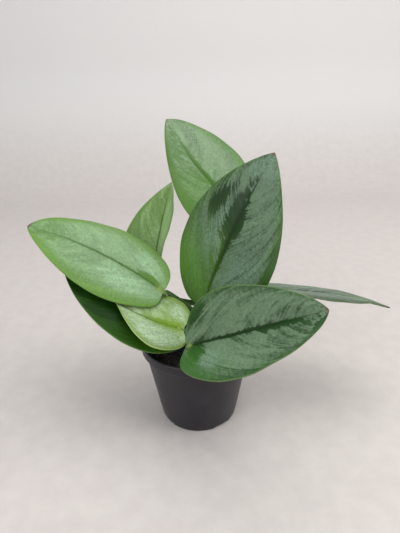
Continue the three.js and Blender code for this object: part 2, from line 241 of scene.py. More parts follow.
# Colours of the other surfaces, as the light that they reflect
UNDERSIDE = (0.11, 0.20, 0.07)
UNDER_MIDRIB = (0.18, 0.28, 0.09)
BASE_KNOB = (0.22, 0.31, 0.07)
TIP_BROWN = (0.12, 0.07, 0.035)
STALK = dict(dark=(0.035, 0.085, 0.02), light=(0.07, 0.15, 0.035), top=(0.17, 0.25, 0.06))
STALK_BLOTCH = (0.16, 0.17, 0.06)
STEM = dict(green=(0.11, 0.17, 0.04), brown=(0.17, 0.14, 0.06))
ROOT = dict(pale=(0.34, 0.26, 0.14), brown=(0.16, 0.10, 0.05))
PLASTIC = dict(dark=(0.007, 0.0055, 0.0095), light=(0.014, 0.0115, 0.017), dust=(0.13, 0.115, 0.10))
PEAT = dict(dark=(0.005, 0.004, 0.004), light=(0.022, 0.017, 0.014), bark=(0.045, 0.027, 0.017))
BACKDROP = dict(dark=(0.525, 0.485, 0.465), light=(0.565, 0.525, 0.50), wall=(0.64, 0.63, 0.615))

# The stage, its lights and the camera, in metres, watts and degrees. The floor bends up into the wall.
STAGE_FRONT = -2.5
STAGE_BACK = 0.75
STAGE_BEND = 0.35
STAGE_TOP = 3.0
STAGE_HALF_WIDTH = 3
LIGHTS = {
    "window": dict(place=[-0.7, -1.1, 0.8], size=1.4, watts=11, tint=(0.97, 0.985, 1.0)),
    "overhead": dict(place=[0.25, 0.05, 1.4], size=1.4, watts=12, tint=(1.0, 0.995, 0.98)),
    "side": dict(place=[1.35, -0.35, 0.6], size=1.0, watts=11, tint=(1.0, 0.99, 0.98)),
}
LIGHTS_AIM = [0, 0, 0.12]
SKY = dict(tint=(0.96, 0.97, 1.0), strength=0.56)
CAMERA_PLACE = [0.004, -0.337, 0.290]
CAMERA_PITCH = 23.2  # below level
CAMERA_ROLL = -1.4
CAMERA_LENS = 29.7  # mm, for a picture 36 mm high
CAMERA_SENSOR = 36


# ---- Vectors and lines ----

def unit(v):
    return v / np.maximum(np.linalg.norm(v, axis=-1, keepdims=True), 1e-9)


def smooth(x, low, high):
    """0 up to low, 1 from high on, and a smooth step between."""
    t = np.clip((x - low) / (high - low), 0, 1)
    return t * t * (3 - 2 * t)


def bump(x, centre, width):
    return np.exp(-(((x - centre) / width) ** 2))


def flowing_line(points, count, steps=24):
    """count evenly spaced points of a smooth line through the given ones."""
    p = np.array(points, float)
    p = np.vstack([2 * p[0] - p[1], p, 2 * p[-1] - p[-2]])
    t = np.linspace(0, 1, steps, endpoint=False)[:, None]
    parts = []
    for a, b, c, d in zip(p, p[1:], p[2:], p[3:]):
        square = 2 * a - 5 * b + 4 * c - d
        cube = 3 * b - a - 3 * c + d
        parts.append(0.5 * (2 * b + (c - a) * t + square * t**2 + cube * t**3))
    fine = np.vstack(parts + [p[-2]])
    reach = np.concatenate([[0], np.cumsum(np.linalg.norm(np.diff(fine, axis=0), axis=1))])
    at = np.linspace(0, reach[-1], count)
    return np.stack([np.interp(at, reach, fine[:, i]) for i in range(3)], axis=1)


def frames_along(line, up):
    """The side and up of a line at each of its points, turning as little as they can."""
    ahead = unit(np.gradient(line, axis=0))
    ups = []
    for direction in ahead:
        up = unit(up - np.dot(up, direction) * direction)
        ups.append(up)
    ups = np.array(ups)
    return np.cross(ahead, ups), ups


def round_angles(count):
    return np.linspace(0, 2 * np.pi, count, endpoint=False)


def polar(distance, angle):
    return np.stack([distance * np.cos(angle), distance * np.sin(angle)], axis=1)


# ---- Meshes ----

def in_scene(name, data):
    """A new object of the scene."""
    made = bpy.data.objects.new(name, data)
    bpy.context.scene.collection.objects.link(made)
    return made


def new_piece(name, vertices, faces, slot, material, replaces=()):
    mesh = bpy.data.meshes.new(name)
    mesh.from_pydata([tuple(v) for v in np.asarray(vertices) * MM], [], faces)
    mesh.validate()
    piece = in_scene(name, mesh)
    mesh.materials.append(material)
    mesh.shade_smooth()
    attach(piece, "root")
    if replaces:
        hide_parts(*replaces)
    return piece


def store(piece, name, values):
    """Keeps one number for each vertex, for the material to read."""
    stored = piece.data.attributes.new(name, "FLOAT", "POINT")
    stored.data.foreach_set("value", np.array(values, np.float32))


def tube_faces(rows, columns):
    """The faces of a closed skin: rows of points round it, with one point at each end."""
    faces = []
    for i in range(rows - 1):
        for j in range(columns):
            a = i * columns + j
            b = i * columns + (j + 1) % columns
            faces.append((a, b, b + columns, a + columns))
    first = rows * columns
    last = first + 1
    end = (rows - 1) * columns
    for j in range(columns):
        k = (j + 1) % columns
        faces.append((first, k, j))
        faces.append((last, end + j, end + k))
    return faces


def skin(rings):
    """Vertices and faces of a closed skin through the rings, an array of rows by columns by 3."""
    rows, columns, _ = rings.shape
    vertices = np.vstack([rings.reshape(-1, 3), rings[0].mean(0), rings[-1].mean(0)])
    return vertices, tube_faces(rows, columns)


def sweep(line, up, outline):
    """A limb along a line. outline(share) gives its section's points as how far they lie aside and up."""
    side, ups = frames_along(line, np.array(up, float))
    rings = []
    for i, centre in enumerate(line):
        section = outline(i / (len(line) - 1))
        rings.append(centre + section[:, :1] * side[i] + section[:, 1:] * ups[i])
    return skin(np.array(rings))


def revolve(profile, segments):
    """A closed solid of revolution. The profile runs from the axis below, out and round to the axis above."""
    profile = np.array(profile, float)
    turn = round_angles(segments)
    radii, heights = profile[1:-1, 0], profile[1:-1, 1]
    rings = np.stack([
        radii[:, None] * np.cos(turn),
        radii[:, None] * np.sin(turn),
        np.repeat(heights[:, None], segments, axis=1),
    ], axis=2)
    vertices = np.vstack([rings.reshape(-1, 3), [0, 0, profile[0, 1]], [0, 0, profile[-1, 1]]])
    return vertices, tube_faces(len(radii), segments)


def joined_meshes(parts):
    vertices, faces, offset = [], [], 0
    for part_vertices, part_faces in parts:
        vertices.append(part_vertices)
        faces += [tuple(i + offset for i in face) for face in part_faces]
        offset += len(part_vertices)
    return np.vstack(vertices), faces


# ---- Blades ----

def axes_of(leaf):
    """The blade's own directions at its base: along the midrib, to its right, and out of its upper face."""
    h, r, q = (math.radians(leaf[key]) for key in ("heading", "rise", "roll"))
    along = np.array([math.cos(r) * math.cos(h), math.cos(r) * math.sin(h), math.sin(r)])
    level = np.array([math.sin(h), -math.cos(h), 0])
    side = math.cos(q) * level + math.sin(q) * np.cross(level, along)
    return along, side, np.cross(side, along)


def bent(leaf, along, aside, lift):
    """Where points of the flat blade lie in space, from its base. lift is how far off the sheet they are."""
    ahead, right, up = axes_of(leaf)
    steps = np.linspace(0, 1, MIDRIB_STEPS + 1)

    def direction(share):
        droop = np.radians(leaf["droop"]) * share[..., None]
        sway = np.radians(leaf["sway"]) * share[..., None]
        return np.cos(droop) * (np.cos(sway) * ahead + np.sin(sway) * right) - np.sin(droop) * up

    middles = direction((steps[1:] + steps[:-1]) / 2)
    midrib = np.vstack([np.zeros(3), np.cumsum(middles, axis=0)]) * leaf["length"] / MIDRIB_STEPS
    share = np.clip(along / leaf["length"], 0, 1)
    place = np.stack([np.interp(share, steps, midrib[:, i]) for i in range(3)], axis=-1)
    place = place + np.minimum(along, 0)[..., None] * ahead
    forward = direction(share)
    side = unit(right - np.sum(right * forward, axis=-1, keepdims=True) * forward)
    over = np.cross(side, forward)
    turn = np.radians(leaf["twist"]) * share[..., None]
    side, over = np.cos(turn) * side + np.sin(turn) * over, np.cos(turn) * over - np.sin(turn) * side
    fold = math.radians(leaf["fold"])
    bend = math.radians(leaf["cup"]) / (leaf["width"] / 2)
    slope = fold - bend * np.abs(aside)
    hand = np.sign(aside)
    sideways = hand * (math.sin(fold) - np.sin(slope)) / bend - hand * lift * np.sin(slope)
    upwards = (np.cos(slope) - math.cos(fold)) / bend + lift * np.cos(slope)
    return place + sideways[..., None] * side + upwards[..., None] * over


def edge_of(leaf, t, on_left):
    """How far along and aside the flat blade's edge lies at shares t of its length, on either half."""
    def shape(s):
        return s ** BASE_ROUNDNESS * (1 - s) ** leaf["point"]

    peak = BASE_ROUNDNESS / (BASE_ROUNDNESS + leaf["point"])
    left_lobe, right_lobe = leaf["lobes"]
    reach = np.where(on_left, left_lobe, right_lobe) + LOBE_REACH
    lobe = reach * (t / LOBE_REACH) * np.exp(1 - t / LOBE_REACH)
    return leaf["length"] * (t - lobe), leaf["width"] / 2 * shape(t) / shape(peak)


def vein_of(share, across):
    """Which side vein passes a point: where along the midrib that vein starts. The veins sweep to the tip."""
    sweep_on = 0.55 * across + 0.15 * across**2
    return (share - sweep_on) / (1 - sweep_on)


def relief(leaf, share, across, aside):
    """How far the sheet is raised or sunk, by its midrib, its side veins and its waves."""
    out = np.abs(across)
    fade = smooth(out, 0.03, 0.2) * (1 - smooth(out, 0.8, 1.0)) * (1 - smooth(share, 0.75, 1.0))
    quilt = QUILTING * np.cos(2 * np.pi * SIDE_VEINS * vein_of(share, out)) * fade
    groove = -GROOVE["depth"] * bump(aside, 0, GROOVE["width"]) * (1 - 0.7 * share)
    beside = bump(np.abs(aside), SHOULDERS["aside"], SHOULDERS["width"])
    shoulders = SHOULDERS["height"] * beside * (1 - share)
    hand = np.where(across > 0, 1.0, -1.0)
    wave = np.sin(2 * np.pi * (WAVES + 0.25 * hand) * share + leaf["phase"] + 1.3 * hand)
    ripple = RIPPLE_SHARE * np.sin(2 * np.pi * RIPPLES * share + 2 * leaf["phase"] - hand)
    wave = leaf["wave"] * (wave + ripple) * out**3
    return quilt + groove + shoulders + wave - EDGE_ROLL * out**14


def blade_section():
    """Shares of the half width round a section, from the left edge over the upper face to the right edge and
    back underneath. They crowd at the midrib and the edges. face is 1 above, -1 below and 0 at an edge."""
    out = (1 - np.cos(np.pi * np.linspace(0, 1, BLADE_COLUMNS + 1))) / 2
    upper = np.concatenate([-out[::-1], out[1:]])
    under = upper[::-1][1:-1]
    across = np.concatenate([upper, under])
    face = np.concatenate([np.ones(len(upper)), -np.ones(len(under))])
    face[[0, len(upper) - 1]] = 0
    return across, face


def blade_geometry(name, leaf):
    """The blade's vertices and faces. For each vertex, marks are its share of the length, its share of the
    half width to the right and its side vein, and under is 1 underneath."""
    across, face = blade_section()
    t = (1 - np.cos(np.pi * np.linspace(0, 1, BLADE_ROWS + 2)[1:-1])) / 2
    t = t[:, None]
    across = across[None, :] * np.ones_like(t)
    face = face[None, :] * np.ones_like(t)
    edge_along, edge_aside = edge_of(leaf, t, across < 0)
    along = leaf["length"] * t + (edge_along - leaf["length"] * t) * np.abs(across)
    aside = edge_aside * across * (1 + np.sign(across) * leaf["lopsided"])
    shift = MIDRIB_SHIFT.get(name, 0) * np.sin(np.pi * t**2) * edge_aside * (1 - np.abs(across))

    def where_wide(width):
        """1 where the half blade is at least this wide, and less where it is narrower."""
        return np.minimum(1, edge_aside / width)

    from_edge = (1 - np.abs(across)) * edge_aside
    rounding = np.sqrt(np.clip(1 - (1 - np.minimum(from_edge / (0.9 * BLADE_THICKNESS), 1)) ** 2, 0, 1))
    half = BLADE_THICKNESS / 2 * rounding * where_wide(4)
    ridge = np.where(face < 0, 1.0, 0) * bump(aside, 0, RIDGE_WIDTH) * (1 - t) * where_wide(6)
    share = along / leaf["length"]
    raised = relief(leaf, np.clip(share, 0, 1), across, aside) * where_wide(9)
    rings = bent(leaf, along, aside + shift, raised + face * (half + ridge))
    ends = bent(leaf, np.array([0.0, leaf["length"]]), np.zeros(2), np.zeros(2))
    vertices = np.vstack([rings.reshape(-1, 3), ends])
    marks = np.stack([share, across, vein_of(share, np.abs(across))], axis=-1)
    marks = np.vstack([marks.reshape(-1, 3), [[0, 0, 0], [1, 0, 1]]])
    under = np.append((face < 0).ravel(), [0, 0])
    return vertices, tube_faces(*across.shape), marks, under


def base_of(name, leaf):
    """Where the blade starts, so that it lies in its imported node's box. The bent sheet starts from nought."""
    t = (1 - np.cos(np.pi * np.linspace(0, 1, PACKED_ROWS))) / 2
    flat = np.zeros(PACKED_ROWS)
    right_along, right_aside = edge_of(leaf, t, False)
    left_along, left_aside = edge_of(leaf, t, True)
    right = bent(leaf, right_along, right_aside * (1 + leaf["lopsided"]), flat)
    left = bent(leaf, left_along, -left_aside * (1 - leaf["lopsided"]), flat)
    midrib = bent(leaf, leaf["length"] * t, flat, flat)
    sheet = np.vstack([right, left, midrib])
    low, high = (np.array(corner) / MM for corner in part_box("blade_" + name))
    return (low + high) / 2 - (sheet.min(0) + sheet.max(0)) / 2


def slot_of(node):
    """The record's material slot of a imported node."""
    return next(part["material_slot"] for part in frame["record"]["subparts"] if part["node"] == node)


def make_blade(name, leaf):
    vertices, faces, marks, under = blade_geometry(name, leaf)
    material = leaf_material(name, leaf, LOOKS[name])
    node = "blade_" + name
    vertices = vertices + base_of(name, leaf)
    piece = new_piece("leaf_" + name, vertices, faces, slot_of(node), material, [node])
    stored = piece.data.attributes.new("leaf", "FLOAT_VECTOR", "POINT")
    stored.data.foreach_set("vector", marks.astype(np.float32).ravel())
    store(piece, "under", under)


# ---- Petioles, stems and roots ----

def petiole_outline(share, foot_wings):
    """A stalk's section: round below, with a channel on top between two thin wings that fade out upwards."""
    angle = round_angles(PETIOLE_SEGMENTS)
    neck = 1 + 0.18 * bump(share, 0.93, 0.06) + 0.25 * bump(share, 0.0, 0.08)
    radius = (PETIOLE_FOOT + (PETIOLE_TOP - PETIOLE_FOOT) * share) * neck
    channel = 1 - 0.42 * bump(angle, math.pi / 2, 0.5) * (1 - smooth(share, 0.8, 0.95))
    wings = bump(angle, 0.86, 0.17) + bump(angle, math.pi - 0.86, 0.17)
    reach = foot_wings * (1 - smooth(share, 0.35, 0.85)) * smooth(share, -0.05, 0.1)
    end = np.sqrt(np.clip(1 - max(0, (share - 0.97) / 0.035) ** 2, 0.05, 1))
    return polar((radius * channel + reach * wings) * end, angle)


def make_petiole(name, leaf, material):
    """The stalk runs on under the blade for a few mm, where it is one with the midrib."""
    base = base_of(name, leaf)
    ahead, _, up = axes_of(leaf)
    joined = base - 0.9 * up
    points = leaf["stalk"] + [list(joined - 1.5 * ahead - 0.4 * up), list(joined + 6 * ahead + 0.3 * up)]
    line = flowing_line(points, PETIOLE_RINGS)
    wings = SPECIAL_WINGS.get(name, PETIOLE_WINGS)
    vertices, faces = sweep(line, up, lambda share: petiole_outline(share, wings))
    stalk = new_piece("stalk_" + name, vertices, faces, "petiole", material, ["petiole_" + name])
    shares = np.repeat(np.linspace(0, 1, PETIOLE_RINGS), PETIOLE_SEGMENTS)
    store(stalk, "along", np.append(shares, [0, 1]))


def make_stem(name, material, nub_material):
    line = flowing_line(STEM_LINES[name], STEM_RINGS)
    joints = STEM_JOINTS[name]
    angle = round_angles(STEM_SEGMENTS)

    def outline(share):
        radius = STEM_RADIUS * (1 - 0.25 * share)
        radius += sum(0.55 * bump(share, at, 0.012) + 0.3 * bump(share, at - 0.02, 0.03) for at in joints)
        radius *= math.sqrt(max(0.04, 1 - max(0, (share - 0.96) / 0.04) ** 2))
        wobble = 1 + 0.03 * np.cos(2 * angle + 5 * share) + 0.015 * np.cos(5 * angle + 9 * share)
        return polar(radius * wobble, angle)

    vertices, faces = sweep(line, [0, 1, 0.2], outline)
    new_piece("stem_" + name + "_fine", vertices, faces, "stem", material, ["stem_" + name])
    starts = [line[int(at * (STEM_RINGS - 1))] for at in joints]
    new_piece("root_nubs_" + name, *joined_meshes(root_nubs(starts)), "roots", nub_material)


def root_nubs(starts):
    """Two short root tips at each joint, turned further round from joint to joint."""
    near, middle, far = NUB_REACH
    nubs = []
    for k, start in enumerate(starts):
        for turn in (0.7 + 2.1 * k, 2.9 + 2.1 * k):
            out = np.array([math.cos(turn), math.sin(turn), -0.25])
            tip = start + out * far + np.array([0, 0, -NUB_DROOP])
            line = flowing_line([start + out * near, start + out * middle, tip], NUB_RINGS)
            nubs.append(sweep(line, [0, 0, 1], nub_outline))
    return nubs


def nub_outline(share):
    return polar(NUB_RADIUS * math.sqrt(max(0.02, 1 - share**2.2)), round_angles(NUB_SEGMENTS))


# ---- Pot and potting mix ----

def body_radius(z):
    """The radius of the pot's body outside, at a height."""
    return FOOT_RADIUS + (SHOULDER_RADIUS - FOOT_RADIUS) * z / SHOULDER_HEIGHT


def arc(centre, radius, start, end, count=6):
    """Points of an arc in a profile, angles in degrees."""
    angle = np.radians(np.linspace(start, end, count))
    return [[centre[0] + radius * math.cos(a), centre[1] + radius * math.sin(a)] for a in angle]


def pot_profile():
    """Half the pot's section: up the outside, round its bends and its rim, and down the inside."""
    lip = WALL / 2
    inner = COLLAR_RADIUS - WALL
    return [
        [0, 0],
        [FOOT_RADIUS - 3, 0],
        *arc([FOOT_RADIUS - 2.0, 2.0], 2.0, -90, -12),
        [body_radius(8), 8],
        [body_radius(40), 40],
        [SHOULDER_RADIUS - 0.12, SHOULDER_HEIGHT - 1.2],
        *arc([SHOULDER_RADIUS + 0.5, SHOULDER_HEIGHT - 0.7], 0.5, 180, 90, 4),
        *arc([COLLAR_RADIUS - 0.8, SHOULDER_HEIGHT + 0.6], 0.8, -80, 0, 5),
        [COLLAR_RADIUS - 0.05, POT_HEIGHT - 2.6],
        *arc([COLLAR_RADIUS - lip, POT_HEIGHT - lip], lip, 0, 180, 9),
        [inner, POT_HEIGHT - 2.5],
        [inner - 0.3, SHOULDER_HEIGHT + 2.2],
        *arc([inner - 1.2, SHOULDER_HEIGHT + 1.6], 0.9, 0, -80, 4),
        [SHOULDER_RADIUS - WALL, SHOULDER_HEIGHT - 0.5],
        [body_radius(FLOOR + 1) - WALL, FLOOR + 1],
        [body_radius(FLOOR) - WALL - 1, FLOOR],
        [0, FLOOR],
    ]


def turned_about(vertices, degrees):
    c, s = math.cos(math.radians(degrees)), math.sin(math.radians(degrees))
    return vertices @ np.array([[c, s, 0], [-s, c, 0], [0, 0, 1]])


def round_cutters():
    """One drill for each hole in the pot's floor."""
    hole = DRAIN_HOLE
    vertices, faces = revolve([[0, -4], [hole["radius"], -4], [hole["radius"], 4], [0, 4]], 32)
    vertices = vertices + [hole["circle"], 0, 0]
    return [(turned_about(vertices, 360 * k / hole["count"]), faces) for k in range(hole["count"])]


def slot_cutters():
    """One low arch for each slot in the edge of the foot."""
    slot = DRAIN_SLOT
    angle = np.linspace(0, np.pi, 13)
    half = slot["width"] / 2
    arch = np.stack([
        half * np.cos(angle) / np.maximum(np.abs(np.cos(angle)), np.sin(angle) ** 4) ** 0.5,
        slot["height"] * np.sin(angle) ** 0.35,
    ], axis=1)
    arch = np.vstack([[half, -3], arch, [-half, -3]])
    rings = [np.stack([np.full(len(arch), FOOT_RADIUS + out), arch[:, 0], arch[:, 1]], axis=1)
             for out in (slot["depth"], -slot["depth"])]
    vertices, faces = skin(np.array(rings))
    bearings = [slot["first"] + 360 * k / slot["count"] for k in range(slot["count"])]
    return [(turned_about(vertices, bearing), faces) for bearing in bearings]


def cut(piece, parts):
    """Cuts solids out of a piece."""
    mesh = bpy.data.meshes.new("cutter")
    vertices, faces = joined_meshes(parts)
    mesh.from_pydata([tuple(v) for v in vertices * MM], [], faces)
    outward = bmesh.new()
    outward.from_mesh(mesh)
    bmesh.ops.recalc_face_normals(outward, faces=outward.faces)
    outward.to_mesh(mesh)
    outward.free()
    cutter = in_scene("cutter", mesh)
    modifier = piece.modifiers.new("cut", "BOOLEAN")
    modifier.operation = "DIFFERENCE"
    modifier.solver = "EXACT"
    modifier.object = cutter
    depsgraph = bpy.context.evaluated_depsgraph_get()
    piece.data = bpy.data.meshes.new_from_object(piece.evaluated_get(depsgraph))
    piece.modifiers.clear()
    bpy.data.objects.remove(cutter)


def make_pot(material):
    vertices, faces = revolve(pot_profile(), POT_SEGMENTS)
    pot = new_piece("nursery_pot", vertices, faces, "pot_plastic", material, ["pot"])
    cut(pot, round_cutters() + slot_cutters())
    pot.data.set_sharp_from_angle(angle=math.radians(40))


def mix_height(x, y):
    """The height of the potting mix: a low mound with dips and lumps."""
    r = np.hypot(x, y) / 44
    waves = 0.9 * np.sin(x / 7 + 1) * np.cos(y / 9 - 0.5)
    waves = waves + 0.6 * np.sin(x / 3.1 - y / 4.2)
    waves = waves + 0.4 * np.sin(y / 2.3 + x / 5)
    fine = 0.35 * np.sin(x * 1.9 + 2 * np.sin(y * 0.7)) * np.sin(y * 1.7 + 2 * np.sin(x * 0.6))
    return MIX_TOP + MIX_MOUND * (1 - r**2) - 0.6 + (waves + fine) * (1 - 0.5 * smooth(r, 0.85, 1.0))


def make_mix(material):
    turn = round_angles(MIX_SEGMENTS)
    rings = []
    for z in np.linspace(FLOOR + MIX_GAP, MIX_TOP - 2.5, 12):
        radius = body_radius(z) - WALL - MIX_GAP
        x, y = radius * np.cos(turn), radius * np.sin(turn)
        rings.append(np.stack([x, y, np.full(MIX_SEGMENTS, z)], axis=1))
    for radius in np.linspace(body_radius(MIX_TOP) - WALL - MIX_GAP, 0.8, 56):
        x, y = radius * np.cos(turn), radius * np.sin(turn)
        rings.append(np.stack([x, y, mix_height(x, y)], axis=1))
    vertices, faces = skin(np.array(rings))
    new_piece("mix_bed", vertices, faces, "potting_mix", material, ["potting_mix"])


def lump(size, stretch):
    """A rough crumb: a ball pushed in and out at random, then stretched and turned."""
    ball = bmesh.new()
    bmesh.ops.create_icosphere(ball, subdivisions=2, radius=1)
    points = np.array([v.co[:] for v in ball.verts])
    faces = [tuple(v.index for v in face.verts) for face in ball.faces]
    ball.free()
    push = 1 + 0.22 * np.sin(points @ RANDOM.normal(size=(3, 3)) * 2.6 + RANDOM.uniform(0, 6, 3)).sum(1) / 1.7
    points = points * push[:, None] * stretch * size
    turn, _ = np.linalg.qr(RANDOM.normal(size=(3, 3)))
    if np.linalg.det(turn) < 0:
        turn[:, 0] *= -1
    return points @ turn, faces


def make_crumbs(material):
    """Loose crumbs and bark chips on top of the bed."""
    limit = body_radius(MIX_TOP) - WALL - 3
    parts = []
    shades = []
    for _ in range(CRUMBS):
        radius = limit * math.sqrt(RANDOM.uniform(0, 1))
        bearing = RANDOM.uniform(0, 2 * np.pi)
        x, y = radius * math.cos(bearing), radius * math.sin(bearing)
        kind = CHIP if RANDOM.uniform() < CHIP_SHARE else CRUMB
        size = RANDOM.uniform(*kind["size"])
        points, faces = lump(size, np.array(kind["stretch"]))
        parts.append((points + [x, y, float(mix_height(x, y)) + 0.25 * size], faces))
        shades += [RANDOM.uniform(*kind["shade"])] * len(points)
    crumbs = new_piece("mix_crumbs", *joined_meshes(parts), "potting_mix", material)
    store(crumbs, "shade", shades)


# ---- Materials ----

class Paint:
    """A material's node graph. Its methods add a node and return its output."""

    def __init__(self, name, **sockets):
        self.material = bpy.data.materials.new(name)
        self.material.use_nodes = True
        self.tree = self.material.node_tree
        self.shader = self.tree.nodes["Principled BSDF"]
        for socket, value in sockets.items():
            self.feed(self.shader.inputs[socket.replace("_", " ")], value)

    def feed(self, socket, value):
        if isinstance(value, bpy.types.NodeSocket):
            self.tree.links.new(value, socket)
        elif isinstance(value, tuple) and socket.type == "RGBA":
            socket.default_value = (*value, 1)
        else:
            socket.default_value = value

    def node(self, kind, inputs, output=0, **settings):
        made = self.tree.nodes.new(kind)
        for key, value in settings.items():
            setattr(made, key, value)
        for key, value in inputs.items():
            self.feed(made.inputs[key], value)
        return made.outputs[output]

    def math(self, operation, a, b=0):
        return self.node("ShaderNodeMath", {0: a, 1: b}, operation=operation)

    def add(self, a, b):
        return self.math("ADD", a, b)

    def minus(self, a, b):
        return self.math("SUBTRACT", a, b)

    def times(self, a, b):
        return self.math("MULTIPLY", a, b)

    def ease(self, value, low, high, start=0, end=1):
        """start up to low, end from high on, and a smooth step between. low may be the higher of the two."""
        inputs = {"Value": value, "From Min": low, "From Max": high, "To Min": start, "To Max": end}
        return self.node("ShaderNodeMapRange", inputs, interpolation_type="SMOOTHSTEP")

    def mix(self, share, a, b):
        return self.node("ShaderNodeMix", {0: share, 6: a, 7: b}, output=2, data_type="RGBA")

    def shade(self, colour, factor):
        """The colour, darkened or lightened by a factor."""
        grey = self.node("ShaderNodeCombineColor", {0: factor, 1: factor, 2: factor})
        inputs = {0: 1, 6: colour, 7: grey}
        return self.node("ShaderNodeMix", inputs, output=2, data_type="RGBA", blend_type="MULTIPLY")

    def noise(self, place, scale, detail=3, roughness=0.55, distortion=0):
        inputs = {"Vector": place, "Scale": scale, "Detail": detail, "Roughness": roughness}
        inputs["Distortion"] = distortion
        return self.node("ShaderNodeTexNoise", inputs)

    def vector(self, x, y, z=0):
        return self.node("ShaderNodeCombineXYZ", {0: x, 1: y, 2: z})

    def stretched(self, place, scales):
        return self.node("ShaderNodeVectorMath", {0: place, 1: scales}, operation="MULTIPLY")

    def stored(self, name):
        """A number that store() kept for each vertex."""
        return self.node("ShaderNodeAttribute", {}, output=2, attribute_name=name)

    def place(self):
        return self.node("ShaderNodeTexCoord", {}, output=3)

    def parts(self, vector):
        split = self.tree.nodes.new("ShaderNodeSeparateXYZ")
        self.feed(split.inputs[0], vector)
        return split.outputs

    def bump(self, height, strength, distance):
        inputs = {"Height": height, "Strength": strength, "Distance": distance}
        self.feed(self.shader.inputs["Normal"], self.node("ShaderNodeBump", inputs))

    def colour(self, value):
        self.feed(self.shader.inputs["Base Color"], value)

    def roughness(self, value):
        self.feed(self.shader.inputs["Roughness"], value)


class LeafPaint(Paint):
    """The nodes of a leaf. share is a point's share of the length, across its share of the half width to the
    right, out the same to either side, and vein its side vein. streak, lines and patch are noise along the
    veins, with lines the finest and patch the broadest."""

    def __init__(self, name, leaf, look):
        super().__init__("leaf_" + name + "_surface", IOR=1.37, Subsurface_Weight=0.1, Subsurface_Scale=0.002)
        self.shader.inputs["Subsurface Radius"].default_value = (0.6, 1, 0.25)
        self.shader.inputs["Specular IOR Level"].default_value = look["gloss"]
        self.look = look
        marks = self.node("ShaderNodeAttribute", {}, output=1, attribute_name="leaf")
        self.share, self.across, self.vein = self.parts(marks)
        self.out = self.math("ABSOLUTE", self.across)
        self.right = self.ease(self.across, -0.03, 0.03)
        own_slice = sum(map(ord, name)) % 17
        self.slice = self.add(self.times(self.right, 7), own_slice)
        self.streak = self.streaky(leaf["length"] * 0.22, 1.7, 4, 0.34, 0.66)
        self.lines = self.streaky(leaf["length"] * 0.6, 2.2, 2, 0.35, 0.65)
        self.patch = self.streaky(4.2, 1.5, 2, 0.36, 0.64, 0.5)
        self.mottle = self.noise(self.place(), 420, detail=3, roughness=0.7)

    def streaky(self, across_veins, along_veins, detail, low, high, distortion=0.2):
        """Noise drawn out along the side veins, from -0.5 to 0.5. Each leaf and half has its own slice."""
        x = self.times(self.vein, across_veins)
        y = self.times(self.out, along_veins)
        z = self.add(self.slice, across_veins)
        noise = self.noise(self.vector(x, y, z), 1, detail=detail, roughness=0.62, distortion=distortion)
        return self.ease(noise, low, high, -0.5, 0.5)

    def spot(self, middle_share, middle_across, length, width):
        """1 in an oval spot with ragged ends, 0 away from it."""
        x = self.math("DIVIDE", self.minus(self.share, middle_share), length)
        y = self.math("DIVIDE", self.minus(self.across, middle_across), width)
        away = self.node("ShaderNodeVectorMath", {0: self.vector(x, y)}, output=1, operation="LENGTH")
        ragged = self.times(self.streak, 0.15 + 0.3 * self.look["streaks"])
        return self.ease(self.add(away, ragged), 1.2, 0.4)

    def near_midrib(self):
        """1 in the green band along the midrib, which is widest at one place and ends before the tip."""
        band, widest = self.look["band"]
        reach = self.math("ABSOLUTE", self.minus(self.share, widest))
        reach = self.ease(reach, 0.4, 0, 0.35 * band, 1.3 * band)
        ragged = self.add(self.out, self.times(self.streak, 0.05))
        return self.times(self.ease(ragged, reach, 0), self.ease(self.share, 1, 0.75))

    def near_margin(self):
        """Rises from 0 to 1 over the green margin."""
        uneven = self.add(self.out, self.times(self.add(self.patch, self.streak), 0.14))
        width, _ = self.look["rim"]
        return self.ease(uneven, 1 - width, 1)

    def painted_highlight(self):
        """The painted highlights: pale spots of lighter silver, broken up into glints."""
        painted_highlight = 0
        for oval in self.look["pale"]:
            painted_highlight = self.math("MAXIMUM", self.spot(*oval), painted_highlight)
        glints = self.noise(self.place(), 1300, detail=2)
        return self.times(painted_highlight, self.ease(glints, 0.42, 0.62, 0.25, 1))

    def bloom(self, margin, painted_highlight):
        """How much the silver bloom covers a point, from 0 to 1, with more in the painted highlights."""
        look = self.look
        left, right = look["bloom"]
        speckle = 0.2 * look["streaks"]
        cover = self.ease(self.right, 0, 1, left, right)
        cover = self.add(cover, self.times(self.streak, look["streaks"]))
        cover = self.add(cover, self.times(self.patch, look["patches"]))
        cover = self.add(cover, self.times(self.lines, 0.35 * look["streaks"]))
        cover = self.add(cover, self.ease(self.share, 0.6, 0.9, 0, look["tip"]))
        cover = self.add(cover, self.ease(self.mottle, 0.3, 0.7, -speckle, speckle))
        cover = self.minus(cover, self.times(self.near_midrib(), 0.9))
        cover = self.minus(cover, self.times(margin, 0.7))
        for oval in look["dark"]:
            cover = self.minus(cover, self.times(self.spot(*oval), 1.3))
        # The painted highlights raise the bloom as well.
        cover = self.add(cover, self.times(painted_highlight, 0.5))
        return self.ease(cover, -0.05, 1.05)

    def freshness(self, margin):
        """1 in the fresh part, and part of that along the margin."""
        share, across, reach = self.look["fresh_spot"]
        _, on_rim = self.look["rim"]
        aim = (share, across * 0.5, 0)
        here = self.vector(self.share, self.times(self.across, 0.5))
        far = self.node("ShaderNodeVectorMath", {0: here, 1: aim}, output=1, operation="DISTANCE")
        far = self.add(far, self.times(self.streak, 0.15))
        return self.math("MAXIMUM", self.ease(far, reach + 0.1, 0.1), self.times(margin, on_rim))

    def upper_face(self, cover, margin, painted_highlight):
        """Bloom over the ground, with a dark crease at the midrib and a pale knob where the stalk joins."""
        look = self.look
        fresh = self.freshness(margin)
        ground = self.mix(fresh, look["deep"], look["fresh"])
        silver = self.mix(self.times(fresh, 0.6), look["silver"], look["fresh"])
